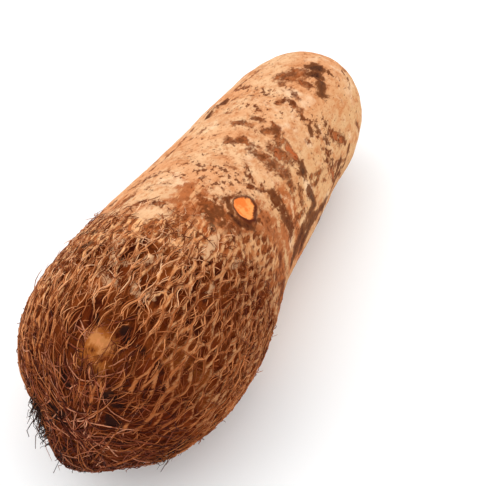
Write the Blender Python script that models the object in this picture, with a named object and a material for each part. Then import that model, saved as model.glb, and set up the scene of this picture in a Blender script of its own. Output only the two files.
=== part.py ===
# A malanga corm lying on its side, as it comes from the ground: one solid that grew as one piece.
# The hairy butt points to -X and the smooth tip to +X, +Z is up, and the belly rests on z = 0.
# The origin is on the ground under the middle of the corm's box. Every size is in metres.

import math
import random

import bmesh
import bpy
from mathutils import Matrix, Vector, noise

# The corm's own form
LENGTH = 0.240
BUTT_X = -0.1174
BUTT_CAP = 0.069
TIP_CAP = 0.045
AXIS_Y = 0.0058
# Each pair is a share of the length, from butt to tip, and a size there. The caps round the ends off.
RADIUS_ALONG = (
    (0.0, 0.0525),
    (0.22, 0.0429),
    (0.38, 0.0400),
    (0.52, 0.0368),
    (0.68, 0.0347),
    (0.84, 0.0318),
    (1.0, 0.0334),
)
SIDEWAYS_ALONG = (
    (0.0, -0.0084),
    (0.2, -0.0066),
    (0.36, -0.0046),
    (0.5, -0.0026),
    (0.75, -0.0008),
    (1.0, -0.0038),
)

# The belly curves up a little towards both ends, and a small flat is worn on its lowest stretch.
REST_SHARE = 0.43
BELLY_RISE = 0.0030
BUTT_DROP = 0.0028
FLAT_DEPTH = 0.0009

# Slow waves of the whole surface
WAVE_SIZE = 0.034
WAVE_HEIGHT = 0.0005

# Swellings and hollows: share along, degrees from the top towards -Y, reach, height
SWELLINGS = (
    (0.03, 180.0, 0.020, 0.0086),
    (0.03, -128.0, 0.011, -0.0022),
    (0.024, -160.0, 0.0095, 0.0027),
    (0.04, 162.0, 0.012, -0.0023),
    (0.076, 138.0, 0.012, 0.0010),
    (0.067, -84.0, 0.016, 0.0006),
    (0.47, 95.0, 0.022, -0.0018),
    (0.665, -42.0, 0.018, -0.0020),
    (0.82, 22.0, 0.020, 0.0010),
    (0.05, 8.0, 0.016, 0.0014),
    (0.012, 62.0, 0.008, -0.0022),
)

# The raised net of old leaf fibres, fine and deep at the butt, gone towards the tip
NET_CUTS = 4
NET_JITTER = 0.030
NET_MERGED_SHARE = 0.16
NET_RIDGE = 0.0010
NET_DEPTH = 0.0013
NET_FULL_UNTIL = 0.34
NET_GONE_AT = 0.62

# Sleeping buds: share along, degrees from the top, radius, height
BUDS = (
    (0.048, 7.0, 0.0070, 0.0024),
    (0.823, 24.0, 0.0052, 0.0018),
    (0.672, -33.0, 0.0050, 0.0014),
    (0.260, -104.0, 0.0060, 0.0020),
    (0.335, 133.0, 0.0062, 0.0020),
    (0.560, -128.0, 0.0060, 0.0018),
)
BUD_SEGMENTS = 14
BUD_RINGS = 7

# The scar where a small side corm was broken off
SCAR_PLACE = (0.411, 32.0)
SCAR_RADIUS = 0.0060
SCAR_RIM = 0.0013
SCAR_DEPTH = 0.0026

# Loose fibres that leave the net and trail back over the butt, a little off the skin
FIBRE_COUNT = 92
FIBRE_SEED = 12
FIBRE_THICKNESS = 0.0012
FIBRE_LENGTHS = (0.006, 0.012)
FIBRE_REACH = 0.46
FIBRE_STEPS = 4
FIBRE_SUNK = 0.0034
FIBRE_LIFT = (0.10, 0.36)
GROUND_GAP = 0.0016


def clear_scene():
    for obj in list(bpy.data.objects):
        bpy.data.objects.remove(obj)


def eased(x):
    x = min(1.0, max(0.0, x))
    return x * x * (3.0 - 2.0 * x)


def smooth_through(table, share):
    """A smooth curve through the table's pairs, level-headed between them, read at share."""
    xs = [pair[0] for pair in table]
    ys = [pair[1] for pair in table]
    last = len(table) - 1
    i = min(last - 1, max(0, sum(x <= share for x in xs) - 1))
    slopes = []
    for k in (i, i + 1):
        before, after = max(0, k - 1), min(last, k + 1)
        slopes.append((ys[after] - ys[before]) / (xs[after] - xs[before]))
    width = xs[i + 1] - xs[i]
    t = (share - xs[i]) / width
    return (
        (2 * t**3 - 3 * t**2 + 1) * ys[i]
        + (t**3 - 2 * t**2 + t) * width * slopes[0]
        + (3 * t**2 - 2 * t**3) * ys[i + 1]
        + (t**3 - t**2) * width * slopes[1]
    )


def cap_share(distance, cap):
    """How far an elliptical end cap has opened, from 0 at the pole to 1 at its full width."""
    if distance >= cap:
        return 1.0
    return math.sqrt(max(0.0, 1.0 - (1.0 - distance / cap) ** 2))


def radius_at(share):
    along = share * LENGTH
    ends = cap_share(along, BUTT_CAP) * cap_share(LENGTH - along, TIP_CAP)
    return smooth_through(RADIUS_ALONG, share) * ends


def axis_point(share):
    """The middle of the corm at a share of its length. The belly line under it hardly leaves the ground."""
    full_radius = smooth_through(RADIUS_ALONG, share)
    rise = BELLY_RISE * ((share - REST_SHARE) / (1.0 - REST_SHARE)) ** 2
    drop = BUTT_DROP * max(0.0, 1.0 - share * LENGTH / BUTT_CAP) ** 2
    across = AXIS_Y + smooth_through(SIDEWAYS_ALONG, share)
    return Vector((BUTT_X + share * LENGTH, across, full_radius + rise - drop - FLAT_DEPTH))


def smooth_point(share, degrees):
    """A point of the plain form. Degrees run from the top towards -Y."""
    angle = math.radians(degrees)
    spoke = Vector((0.0, -math.sin(angle), math.cos(angle)))
    return axis_point(share) + spoke * radius_at(share)


def smooth_normal(share, degrees):
    step = 0.004
    back, ahead = max(0.0005, share - step), min(0.9995, share + step)
    along = smooth_point(ahead, degrees) - smooth_point(back, degrees)
    round_it = smooth_point(share, degrees + 1.0) - smooth_point(share, degrees - 1.0)
    return along.cross(round_it).normalized() * -1.0


def form_lift(point):
    """How far the waves and the swellings raise a point of the plain form. The belly has no waves."""
    lift = WAVE_HEIGHT * noise.noise(point / WAVE_SIZE) * eased((point.z - 0.002) / 0.012)
    for share, degrees, reach, height in SWELLINGS:
        gap = (point - smooth_point(share, degrees)).length / reach
        lift += height * math.exp(-gap * gap)
    return lift


def place_of(direction):
    """Share along and degrees round for a direction from the unit sphere's middle."""
    share = 0.5 * (1.0 + direction.x)
    return share, math.degrees(math.atan2(-direction.y, direction.z))


def nearest_place(point):
    """Share along and degrees round for a point near the surface."""
    share = min(0.997, max(0.003, (point.x - BUTT_X) / LENGTH))
    spoke = point - axis_point(share)
    return share, math.degrees(math.atan2(-spoke.y, spoke.z))


def corm_point(share, degrees):
    point = smooth_point(share, degrees)
    return point + smooth_normal(share, degrees) * form_lift(point)


def net_strength(share):
    return 1.0 - eased((share - NET_FULL_UNTIL) / (NET_GONE_AT - NET_FULL_UNTIL))


def clear_of_ground(height):
    """0 near the belly's flat, so that it stays one clean face, and 1 away from it."""
    return eased((height - 0.001) / 0.004)


def hexagon_net():
    """A unit sphere of uneven six-sided cells: an icosahedron cut finer, with every corner bevelled flat."""
    draw = random.Random(3)
    bm = bmesh.new()
    bmesh.ops.create_icosphere(bm, subdivisions=1, radius=1.0)
    turn = Matrix.Rotation(0.31, 3, "X") @ Matrix.Rotation(0.55, 3, "Y")
    bmesh.ops.rotate(bm, verts=bm.verts[:], matrix=turn)
    bmesh.ops.subdivide_edges(bm, edges=bm.edges[:], cuts=NET_CUTS, use_grid_fill=True)
    for vert in bm.verts:
        vert.co.normalize()
    bmesh.ops.bevel(
        bm,
        geom=bm.verts[:],
        offset=100.0 / 3.0,
        offset_type="PERCENT",
        affect="VERTICES",
        segments=1,
        profile=0.5,
        material=-1,
    )
    for vert in bm.verts:
        vert.co += Vector([draw.uniform(-NET_JITTER, NET_JITTER) for _ in range(3)])
        vert.co.normalize()
    bm.faces.index_update()
    merged = []
    taken = set()
    for edge in bm.edges:
        faces = {face.index for face in edge.link_faces}
        if draw.random() < NET_MERGED_SHARE and abs(edge.verts[0].co.x) < 0.9 and not faces & taken:
            merged.append(edge)
            taken |= faces
    bmesh.ops.dissolve_edges(bm, edges=merged, use_verts=True)
    return bm


def raise_net(bm):
    """Insets each cell of the hairy part and sinks it, so that the rims stand up as a net."""
    cells = []
    for face in bm.faces:
        share = (face.calc_center_median().x - BUTT_X) / LENGTH
        lowest = min(vert.co.z for vert in face.verts)
        if net_strength(share) > 0.05 and lowest > 0.0004:
            cells.append(face)
    bmesh.ops.inset_individual(bm, faces=cells, thickness=NET_RIDGE, depth=0.0, use_even_offset=True)
    bm.normal_update()
    for face in bm.faces:
        face.tag = False
    for cell in cells:
        cell.tag = True
    moves = []
    for cell in cells:
        for vert in cell.verts:
            share = (vert.co.x - BUTT_X) / LENGTH
            depth = NET_DEPTH * net_strength(share) * clear_of_ground(vert.co.z)
            moves.append((vert, cell.normal * depth))
    for vert, move in moves:
        vert.co -= move


def round_smooth_cells(bm):
    """Fans each cell without a rim from its middle, lifted to the form, so that bare skin is rounder."""
    wide = [face for face in bm.faces if len(face.verts) > 4 and face.calc_center_median().z > 0.0006]
    fanned = bmesh.ops.poke(bm, faces=[face for face in wide if not face.tag])
    for vert in fanned["verts"]:
        if vert.co.z > 0.004:
            vert.co = corm_point(*nearest_place(vert.co))


def flatten_belly(bm):
    """Cuts the lowest stretch off level, which leaves the small flat that the corm rests on."""
    bmesh.ops.bisect_plane(
        bm,
        geom=bm.verts[:] + bm.edges[:] + bm.faces[:],
        dist=1e-6,
        plane_co=(0, 0, 0),
        plane_no=(0, 0, -1),
        clear_outer=True,
    )
    bmesh.ops.holes_fill(bm, edges=bm.edges[:], sides=0)


def object_from(bm, name, collection):
    mesh = bpy.data.meshes.new(name)
    bm.to_mesh(mesh)
    bm.free()
    obj = bpy.data.objects.new(name, mesh)
    collection.objects.link(obj)
    return obj


def body_object(collection):
    bm = hexagon_net()
    for vert in bm.verts:
        vert.co = corm_point(*place_of(vert.co))
    flatten_belly(bm)
    raise_net(bm)
    round_smooth_cells(bm)
    bmesh.ops.recalc_face_normals(bm, faces=bm.faces[:])
    return object_from(bm, "malanga", collection)


def seat_matrix(share, degrees, sunk=0.0):
    """Puts a shape's own +Z along the surface's normal, with its X along the corm."""
    normal = smooth_normal(share, degrees)
    across = normal.cross(Vector((1, 0, 0))).normalized()
    along = across.cross(normal)
    turn = Matrix((along, across, normal)).transposed().to_4x4()
    return Matrix.Translation(corm_point(share, degrees) - normal * sunk) @ turn


def add_bud(collection, name, share, degrees, radius, height):
    """A squat dome with a small raised cap: a sleeping bud."""
    for part, wide, high in (("base", 1.0, 1.0), ("cap", 0.45, 1.5)):
        bm = bmesh.new()
        bmesh.ops.create_uvsphere(bm, u_segments=BUD_SEGMENTS, v_segments=BUD_RINGS, radius=1.0)
        bmesh.ops.scale(bm, verts=bm.verts[:], vec=(radius * wide * 1.15, radius * wide, height * high))
        bmesh.ops.transform(bm, matrix=seat_matrix(share, degrees, sunk=0.0004), verts=bm.verts[:])
        object_from(bm, f"{name}_{part}", collection)


def add_scar_rim(collection):
    """The raised collar round the broken bud, turned from its half outline."""
    bm = bmesh.new()
    outer = SCAR_RADIUS + SCAR_RIM
    crest = SCAR_RADIUS + 0.4 * SCAR_RIM
    half_outline = ((0.0, -0.003), (outer, -0.003), (outer, 0.0002), (crest, 0.0011), (0.0, 0.0011))
    outline = [bm.verts.new((x, 0.0, z)) for x, z in half_outline]
    edges = [bm.edges.new(pair) for pair in zip(outline, outline[1:])]
    bmesh.ops.spin(
        bm,
        geom=outline + edges,
        cent=(0, 0, 0),
        axis=(0, 0, 1),
        angle=math.tau,
        steps=16,
        use_merge=True,
    )
    bmesh.ops.remove_doubles(bm, verts=bm.verts[:], dist=1e-5)
    bmesh.ops.recalc_face_normals(bm, faces=bm.faces[:])
    bmesh.ops.transform(bm, matrix=seat_matrix(*SCAR_PLACE), verts=bm.verts[:])
    object_from(bm, "scar_rim", collection)


def scar_cutter(collection):
    """A shallow ball that hollows the scar."""
    bm = bmesh.new()
    bmesh.ops.create_uvsphere(bm, u_segments=16, v_segments=8, radius=1.0)
    bmesh.ops.scale(bm, verts=bm.verts[:], vec=(SCAR_RADIUS * 1.05, SCAR_RADIUS * 0.92, SCAR_DEPTH))
    bmesh.ops.transform(bm, matrix=seat_matrix(*SCAR_PLACE, sunk=-0.0018), verts=bm.verts[:])
    cutter = object_from(bm, "scar_cutter", collection)
    cutter.hide_render = True
    cutter.display_type = "WIRE"
    return cutter


def add_fibre(collection, name, share, degrees, length, draw):
    """A three-sided strand: it leaves the skin low, keeps close over it, and droops past the butt."""
    drift = Vector((-1.0, draw.uniform(-0.55, 0.55), -draw.uniform(0.15, 0.5)))
    lift = draw.uniform(*FIBRE_LIFT)
    step = length / FIBRE_STEPS
    normal = smooth_normal(share, degrees)
    point = corm_point(share, degrees) - normal * FIBRE_SUNK
    heading = (drift - normal * drift.dot(normal) + normal * 1.1).normalized()
    bm = bmesh.new()
    start = bmesh.ops.create_circle(bm, cap_ends=True, segments=3, radius=FIBRE_THICKNESS * 0.58)
    bmesh.ops.rotate(bm, verts=start["verts"], matrix=heading.to_track_quat("Z", "Y").to_matrix())
    bmesh.ops.translate(bm, verts=start["verts"], vec=point)
    end = bm.faces[:]
    for i in range(FIBRE_STEPS):
        ahead = point + heading * (step if i else FIBRE_SUNK * 1.6)
        ahead.z = max(ahead.z, GROUND_GAP)
        grown = bmesh.ops.extrude_face_region(bm, geom=end)["geom"]
        if i > 0:
            bmesh.ops.delete(bm, geom=end, context="FACES_ONLY")
        end = [item for item in grown if isinstance(item, bmesh.types.BMFace)]
        ring = end[0].verts[:]
        bmesh.ops.translate(bm, verts=ring, vec=ahead - point)
        narrower = 0.9 if i < FIBRE_STEPS - 1 else 0.6
        bmesh.ops.scale(bm, verts=ring, vec=(narrower,) * 3, space=Matrix.Translation(-ahead))
        point = ahead
        normal = smooth_normal(*nearest_place(point))
        heading = (drift - normal * drift.dot(normal) + normal * lift).normalized()
    bmesh.ops.recalc_face_normals(bm, faces=bm.faces[:])
    object_from(bm, name, collection)


def add_fibres(collection):
    draw = random.Random(FIBRE_SEED)
    clear_of = [(smooth_point(*SCAR_PLACE), 3.2 * SCAR_RADIUS)]
    clear_of += [(smooth_point(share, degrees), 1.5 * radius) for share, degrees, radius, _ in BUDS]
    for i in range(FIBRE_COUNT):
        share = 0.006 + FIBRE_REACH * draw.random() ** 1.6
        degrees = draw.uniform(-140.0, 140.0)
        root = smooth_point(share, degrees)
        if all((root - centre).length > reach for centre, reach in clear_of):
            add_fibre(collection, f"fibre_{i:03d}", share, degrees, draw.uniform(*FIBRE_LENGTHS), draw)


def apply_boolean(target, operation, **operand):
    modifier = target.modifiers.new("join", "BOOLEAN")
    modifier.operation = operation
    modifier.solver = "MANIFOLD"
    for key, value in operand.items():
        setattr(modifier, key, value)
    bpy.context.view_layer.update()
    graph = bpy.context.evaluated_depsgraph_get()
    made = bpy.data.meshes.new_from_object(target.evaluated_get(graph))
    target.modifiers.clear()
    old, target.data = target.data, made
    bpy.data.meshes.remove(old)
    made.name = target.name


def remove_collection(collection):
    for obj in list(collection.objects):
        bpy.data.objects.remove(obj)
    bpy.data.collections.remove(collection)


def new_collection(name):
    collection = bpy.data.collections.new(name)
    bpy.context.scene.collection.children.link(collection)
    return collection


def skin_material():
    material = bpy.data.materials.new("skin")
    material.use_nodes = True
    shader = material.node_tree.nodes["Principled BSDF"]
    shader.inputs["Base Color"].default_value = (0.30, 0.13, 0.055, 1.0)
    shader.inputs["Roughness"].default_value = 0.78
    shader.inputs["Metallic"].default_value = 0.0
    return material


def build():
    clear_scene()
    part = new_collection("malanga_corm")
    corm = body_object(part)

    growths = new_collection("growths")
    for i, bud in enumerate(BUDS):
        add_bud(growths, f"bud_{i}", *bud)
    add_scar_rim(growths)
    add_fibres(growths)
    apply_boolean(corm, "UNION", operand_type="COLLECTION", collection=growths)
    remove_collection(growths)

    cutters = new_collection("cutters")
    cutter = scar_cutter(cutters)
    apply_boolean(corm, "DIFFERENCE", object=cutter)
    remove_collection(cutters)

    corm.data.materials.clear()
    corm.data.materials.append(skin_material())
    corm.data.shade_smooth()
    return corm


build()
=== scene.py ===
import math
import random
from types import SimpleNamespace

import bmesh
import bpy
import numpy as np
from mathutils import Matrix, Vector, bvhtree, kdtree, noise


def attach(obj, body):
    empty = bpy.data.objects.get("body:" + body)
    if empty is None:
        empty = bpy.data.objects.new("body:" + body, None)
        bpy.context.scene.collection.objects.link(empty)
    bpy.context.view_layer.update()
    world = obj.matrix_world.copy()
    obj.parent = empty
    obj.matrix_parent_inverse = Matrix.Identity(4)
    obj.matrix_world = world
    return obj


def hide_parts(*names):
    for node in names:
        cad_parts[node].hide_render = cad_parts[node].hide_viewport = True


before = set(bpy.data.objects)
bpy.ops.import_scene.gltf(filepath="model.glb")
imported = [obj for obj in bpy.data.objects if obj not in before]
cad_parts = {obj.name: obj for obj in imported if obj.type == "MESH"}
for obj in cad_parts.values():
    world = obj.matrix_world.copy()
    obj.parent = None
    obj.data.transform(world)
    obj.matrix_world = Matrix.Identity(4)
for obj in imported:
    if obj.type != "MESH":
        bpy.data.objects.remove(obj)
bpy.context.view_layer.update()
print("frame loaded:", sorted(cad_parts))

# The corm's own form, in metres. Shares run from the butt (0) to the tip (1), and degrees from the top
# towards -Y.
form = {
    "length": 0.240,
    "buttX": -0.1174,
    "buttCap": 0.069,
    "tipCap": 0.045,
    "axisY": 0.0058,
    "radius": (
        (0.0, 0.0525), (0.22, 0.0429), (0.38, 0.0400), (0.52, 0.0368),
        (0.68, 0.0347), (0.84, 0.0318), (1.0, 0.0334),
    ),
    "sideways": (
        (0.0, -0.0084), (0.2, -0.0066), (0.36, -0.0046),
        (0.5, -0.0026), (0.75, -0.0008), (1.0, -0.0038),
    ),
    "restShare": 0.43,
    "bellyRise": 0.0030,
    "buttDrop": 0.0028,
    "flatDepth": 0.0009,
    "waveSize": 0.034,
    "waveHeight": 0.0005,
    "waveStart": 0.002,  # above the floor, and the waves grow to their full height over waveFade
    "waveFade": 0.012,
    "middle": (0.0, 0.0, 0.04),
    "swellings": (  # share, degrees, reach, height
        (0.03, 180.0, 0.020, 0.0086),
        (0.03, -128.0, 0.011, -0.0022),
        (0.024, -160.0, 0.0095, 0.0027),
        (0.04, 162.0, 0.012, -0.0023),
        (0.076, 138.0, 0.012, 0.0010),
        (0.067, -84.0, 0.016, 0.0006),
        (0.47, 95.0, 0.022, -0.0018),
        (0.665, -42.0, 0.018, -0.0020),
        (0.82, 22.0, 0.020, 0.0010),
        (0.05, 8.0, 0.016, 0.0014),
        (0.012, 62.0, 0.008, -0.0022),
    ),
}


def eased(x):
    x = np.clip(x, 0.0, 1.0)
    return x * x * (3.0 - 2.0 * x)


def throughTable(table, share):
    # a smooth curve through the table's pairs
    xs, ys = np.array(table).T
    last = len(xs) - 1
    before, after = np.maximum(np.arange(last + 1) - 1, 0), np.minimum(np.arange(last + 1) + 1, last)
    slopes = (ys[after] - ys[before]) / (xs[after] - xs[before])
    i = np.clip(np.searchsorted(xs, share, side="right") - 1, 0, last - 1)
    width = xs[i + 1] - xs[i]
    t = (share - xs[i]) / width
    return (
        (2 * t**3 - 3 * t**2 + 1) * ys[i]
        + (t**3 - 2 * t**2 + t) * width * slopes[i]
        + (3 * t**2 - 2 * t**3) * ys[i + 1]
        + (t**3 - t**2) * width * slopes[i + 1]
    )


def capShare(distance, cap):
    return np.sqrt(np.clip(1.0 - np.clip(1.0 - distance / cap, 0.0, 1.0) ** 2, 0.0, 1.0))


def radiusAt(share):
    along = share * form["length"]
    ends = capShare(along, form["buttCap"]) * capShare(form["length"] - along, form["tipCap"])
    return throughTable(form["radius"], share) * ends


def axisPoint(share):
    rise = form["bellyRise"] * ((share - form["restShare"]) / (1.0 - form["restShare"])) ** 2
    drop = form["buttDrop"] * np.maximum(0.0, 1.0 - share * form["length"] / form["buttCap"]) ** 2
    z = throughTable(form["radius"], share) + rise - drop - form["flatDepth"]
    x = form["buttX"] + share * form["length"]
    return np.stack([x, form["axisY"] + throughTable(form["sideways"], share), z], axis=-1)


def smoothPoint(share, degrees):
    angle = np.radians(degrees)
    spoke = np.stack([np.zeros_like(angle), -np.sin(angle), np.cos(angle)], axis=-1)
    return axisPoint(share) + spoke * radiusAt(share)[..., None]


def smoothNormal(share, degrees):
    back, ahead = np.maximum(0.0005, share - 0.004), np.minimum(0.9995, share + 0.004)
    inside = np.clip(share, 0.0001, 0.9999)
    along = smoothPoint(ahead, degrees) - smoothPoint(back, degrees)
    around = smoothPoint(inside, degrees + 1.0) - smoothPoint(inside, degrees - 1.0)
    normal = -np.cross(along, around)
    return normal / np.linalg.norm(normal, axis=-1, keepdims=True)


def noiseAt(points, size):
    # slow noise from about -1 to 1 at each point
    return np.array([noise.noise(Vector(p)) for p in np.asarray(points).reshape(-1, 3) / size])


def lumps(points, layers):
    # layers of noise, each with its height, size and shift
    return sum(height * noiseAt(points + shift, size) for height, size, shift in layers)


def formLift(points):
    fade = eased((points[:, 2] - form["waveStart"]) / form["waveFade"])
    lift = form["waveHeight"] * noiseAt(points, form["waveSize"]) * fade
    for share, degrees, reach, height in form["swellings"]:
        gap = np.linalg.norm(points - smoothPoint(np.float64(share), np.float64(degrees)), axis=1) / reach
        lift += height * np.exp(-gap * gap)
    return lift


def onCorm(share, degrees, lift=0.0):
    # points on the corm's skin, raised by lift
    points = smoothPoint(share, degrees)
    return points + smoothNormal(share, degrees) * (formLift(points) + lift)[:, None]


def oneSpot(share, degrees, lift=0.0):
    # one point on the skin, and the way out of it
    share, degrees = np.array([share]), np.array([degrees])
    return onCorm(share, degrees, lift)[0], smoothNormal(share, degrees)[0]


# The net: long fibres that weave from side to side, so that each touches its two neighbours in turn.
# The coarse one wraps the butt, and the fine one thins out over the middle.
nets = {
    "coarse": {
        "lines": 146, "start": 0.0, "end": 0.38, "rowAtStart": 0.032, "rowAtEnd": 0.016, "sample": 0.0022,
        "touch": (0.72, 1.0), "jitterAlong": 0.17, "jitterRound": 0.24, "sideBySide": 0.26, "missing": 0.10,
        "wobble": 0.15, "width": 0.00072, "seed": 3,
    },
    "fine": {
        "lines": 168, "start": 0.16, "end": 0.46, "rowAtStart": 0.018, "rowAtEnd": 0.014, "sample": 0.0018,
        "touch": (0.72, 1.0), "jitterAlong": 0.20, "jitterRound": 0.28, "sideBySide": 0.20, "missing": 0.16,
        "wobble": 0.18, "width": 0.00075, "seed": 9,
    },
}
netShape = {
    "ridge": 0.00055,
    "hollow": 0.00095,
    "drift": 5.0,  # degrees
    "driftSize": 0.70,
    "driftStretch": 2.2,
    "fineDrift": 0.45,  # of the drift, at fineDriftSize of its size
    "fineDriftSize": 0.42,
    "poleTurn": 19.0,  # degrees: the fibres gather below the middle of the butt
    "poleReach": 0.42,
    "thinnestShare": 0.30,  # of the lines, those that reach the very end
    "thinsBelow": 0.16,
}


def netDrift(share, degrees):
    angle = np.radians(degrees)
    points = np.stack([share * netShape["driftStretch"], np.sin(angle), np.cos(angle)], axis=-1)
    size = netShape["driftSize"]
    finer = (netShape["fineDrift"], size * netShape["fineDriftSize"], 7.0)
    return netShape["drift"] * lumps(points, ((1.0, size, 0.0), finer))


def towardsPole(share, degrees):
    # turns the places near the butt, so that lines along the corm gather at the low pole
    angle = np.radians(degrees + netDrift(share, degrees))
    x = 2.0 * share - 1.0
    across = np.sqrt(np.clip(1.0 - x * x, 0.0, 1.0))
    y, z = -across * np.sin(angle), across * np.cos(angle)
    turn = math.radians(netShape["poleTurn"]) * (1.0 - eased(share / netShape["poleReach"]))
    x, z = x * np.cos(turn) - z * np.sin(turn), x * np.sin(turn) + z * np.cos(turn)
    return np.clip(0.5 * (1.0 + x), 0.0003, 0.9997), np.degrees(np.arctan2(-y, z))


def netRows(facts):
    rows = [facts["start"]]
    while rows[-1] < facts["end"]:
        far = (rows[-1] - facts["start"]) / (facts["end"] - facts["start"])
        rows.append(rows[-1] + facts["rowAtStart"] * (1.0 - far) + facts["rowAtEnd"] * far)
    return rows


def netLine(facts, rows, knots, line, draw):
    # one fibre's course: it runs beside one neighbour at each row, then crosses to the other
    controls = []
    for row in range(len(rows)):
        pair = line if (line + row) % 2 == 0 else line - 1
        along, around, touch = knots[pair % facts["lines"], row]
        gap = rows[min(row + 1, len(rows) - 1)] - rows[max(row - 1, 0)]
        middle = rows[row] + 0.5 * gap * along
        side = (pair + 0.5 + around) + (0.5 if pair < line else -0.5) * (1.0 - touch)
        half = 0.5 * gap * facts["sideBySide"]
        controls += [(middle - half, side), (middle + half, side)]
    at, sides = np.array(controls).T
    share = np.arange(rows[0], rows[-1], facts["sample"])
    course = np.interp(share, at, sides)
    course = np.convolve(np.pad(course, 2, mode="edge"), np.array([1, 2, 3, 2, 1]) / 9.0, mode="valid")
    crumple = np.stack([share * 60.0, np.full(len(share), line * 0.73), np.zeros(len(share))], axis=-1)
    course = course + facts["wobble"] * noiseAt(crumple, 1.0)
    strengths = [0.0 if draw.random() < facts["missing"] else draw.uniform(0.6, 1.0) for _ in rows]
    strength = np.interp(share, rows, strengths)
    # towards the pole the lines have less room, so fewer of them go on
    room = radiusAt(np.maximum(share, 0.004)) / radiusAt(np.array(0.3))
    place = (line * 0.6180339) % 1.0
    kept = room > netShape["thinnestShare"] + (0.96 - netShape["thinnestShare"]) * place
    strength = strength * (kept | (share > netShape["thinsBelow"]))
    share, degrees = towardsPole(share, course * 360.0 / facts["lines"])
    return share, degrees, strength


def netLines(facts):
    draw = random.Random(facts["seed"])
    rows = netRows(facts)
    knots = {}
    for pair in range(facts["lines"]):
        for row in range(len(rows)):
            along = max(-0.45, min(0.45, draw.gauss(0, facts["jitterAlong"])))
            knots[pair, row] = (along, draw.gauss(0, facts["jitterRound"]), draw.uniform(*facts["touch"]))
    return [netLine(facts, rows, knots, line, draw) for line in range(facts["lines"])]


courses = {name: netLines(facts) for name, facts in nets.items()}
print("net:", {name: len(lines) for name, lines in courses.items()}, "lines")


def netBar(name, points):
    # how strongly a bar of this net runs through each point: 1 on its middle line, 0 away from it
    share, degrees, strength = (np.concatenate(parts) for parts in zip(*courses[name]))
    at = smoothPoint(share, degrees)
    tree = kdtree.KDTree(len(at))
    for i, point in enumerate(at):
        if strength[i] > 0.25:
            tree.insert(point, i)
    tree.balance()
    found = [tree.find(point)[1:] for point in points]
    nearest = np.array([index for index, _ in found])
    distance = np.array([gap for _, gap in found])
    width = nets[name]["width"] * (1.0 + 0.5 * noiseAt(points, 0.012))
    return strength[nearest] * np.exp(-((distance / width) ** 2)), distance


netReach = {  # both nets reach further towards the tip on the -Y side
    "further": 0.085,
    "furtherFrom": 20.0,  # degrees
    "furtherTo": 150.0,
    "less": 0.035,
    "lessFrom": 8.0,
    "lessTo": -150.0,
    "turnIn": 35.0,
    "turnOut": 30.0,
    "wander": ((0.035, 0.030, 0.0), (0.025, 0.010, 0.5)),
    "coarseEnd": (0.19, 0.11),  # the share where it starts, and over how far
    "fineStart": (0.14, 0.08),
    "fineEnd": (0.27, 0.12),
}


def netZones(share, degrees, points):
    # where the coarse and the fine net lie
    turnIn, turnOut = netReach["turnIn"], netReach["turnOut"]
    further = eased((degrees - netReach["furtherFrom"]) / turnIn)
    further *= 1.0 - eased((degrees - netReach["furtherTo"]) / turnOut)
    less = eased((netReach["lessFrom"] - degrees) / turnIn)
    less *= 1.0 - eased((netReach["lessTo"] - degrees) / turnOut)
    place = share - netReach["further"] * further + netReach["less"] * less
    place += lumps(points, netReach["wander"])
    coarseEnd, fineStart, fineEnd = (
        eased((place - start) / over)
        for start, over in (netReach["coarseEnd"], netReach["fineStart"], netReach["fineEnd"])
    )
    return 1.0 - coarseEnd, fineStart * (1.0 - fineEnd)


# The camera stands where the photo's did, so that a mark's place can be given by a pixel of the photo
cameraFacts = {
    "place": (-0.32944, -0.1594, 0.3609),
    "azimuth": 23.9,  # degrees from +X towards +Y, where the camera looks
    "down": 42.0,
    "lens": 86.06,
    "sensor": 36.0,
    "photoWidth": 502,
    "photoHeight": 486,
}


def cameraTurn():
    turn, down = math.radians(cameraFacts["azimuth"]), math.radians(cameraFacts["down"])
    looks = Vector((math.cos(turn) * math.cos(down), math.sin(turn) * math.cos(down), -math.sin(down)))
    return looks.to_track_quat("-Z", "Y")


def rayThrough(x, y):
    width, height = cameraFacts["photoWidth"], cameraFacts["photoHeight"]
    reach = cameraFacts["sensor"] / cameraFacts["lens"] / width
    ray = Vector(((x - width / 2) * reach, (height / 2 - y) * reach, -1.0))
    return (cameraTurn() @ ray).normalized()


def plainForm():
    # the corm's plain form, to find where a ray through a pixel meets it
    bm = bmesh.new()
    bmesh.ops.create_uvsphere(bm, u_segments=96, v_segments=72, radius=1.0)
    bmesh.ops.rotate(bm, verts=bm.verts[:], matrix=Matrix.Rotation(math.radians(90), 3, "Y"))
    for vert in bm.verts:
        share, degrees = 0.5 * (1.0 + vert.co.x), math.degrees(math.atan2(-vert.co.y, vert.co.z))
        vert.co = onCorm(np.array([share]), np.array([degrees]))[0]
    tree = bvhtree.BVHTree.FromBMesh(bm)
    bm.free()
    return tree


formTree = plainForm()


def underPixel(x, y):
    # the place on the corm that the photo shows at this pixel, or the nearest one if the ray passes it
    start, ray = Vector(cameraFacts["place"]), rayThrough(x, y)
    hit = formTree.ray_cast(start, ray)[0]
    if hit is None:
        hit = formTree.find_nearest(start + ray * (Vector(form["middle"]) - start).dot(ray))[0]
    return hit


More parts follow.
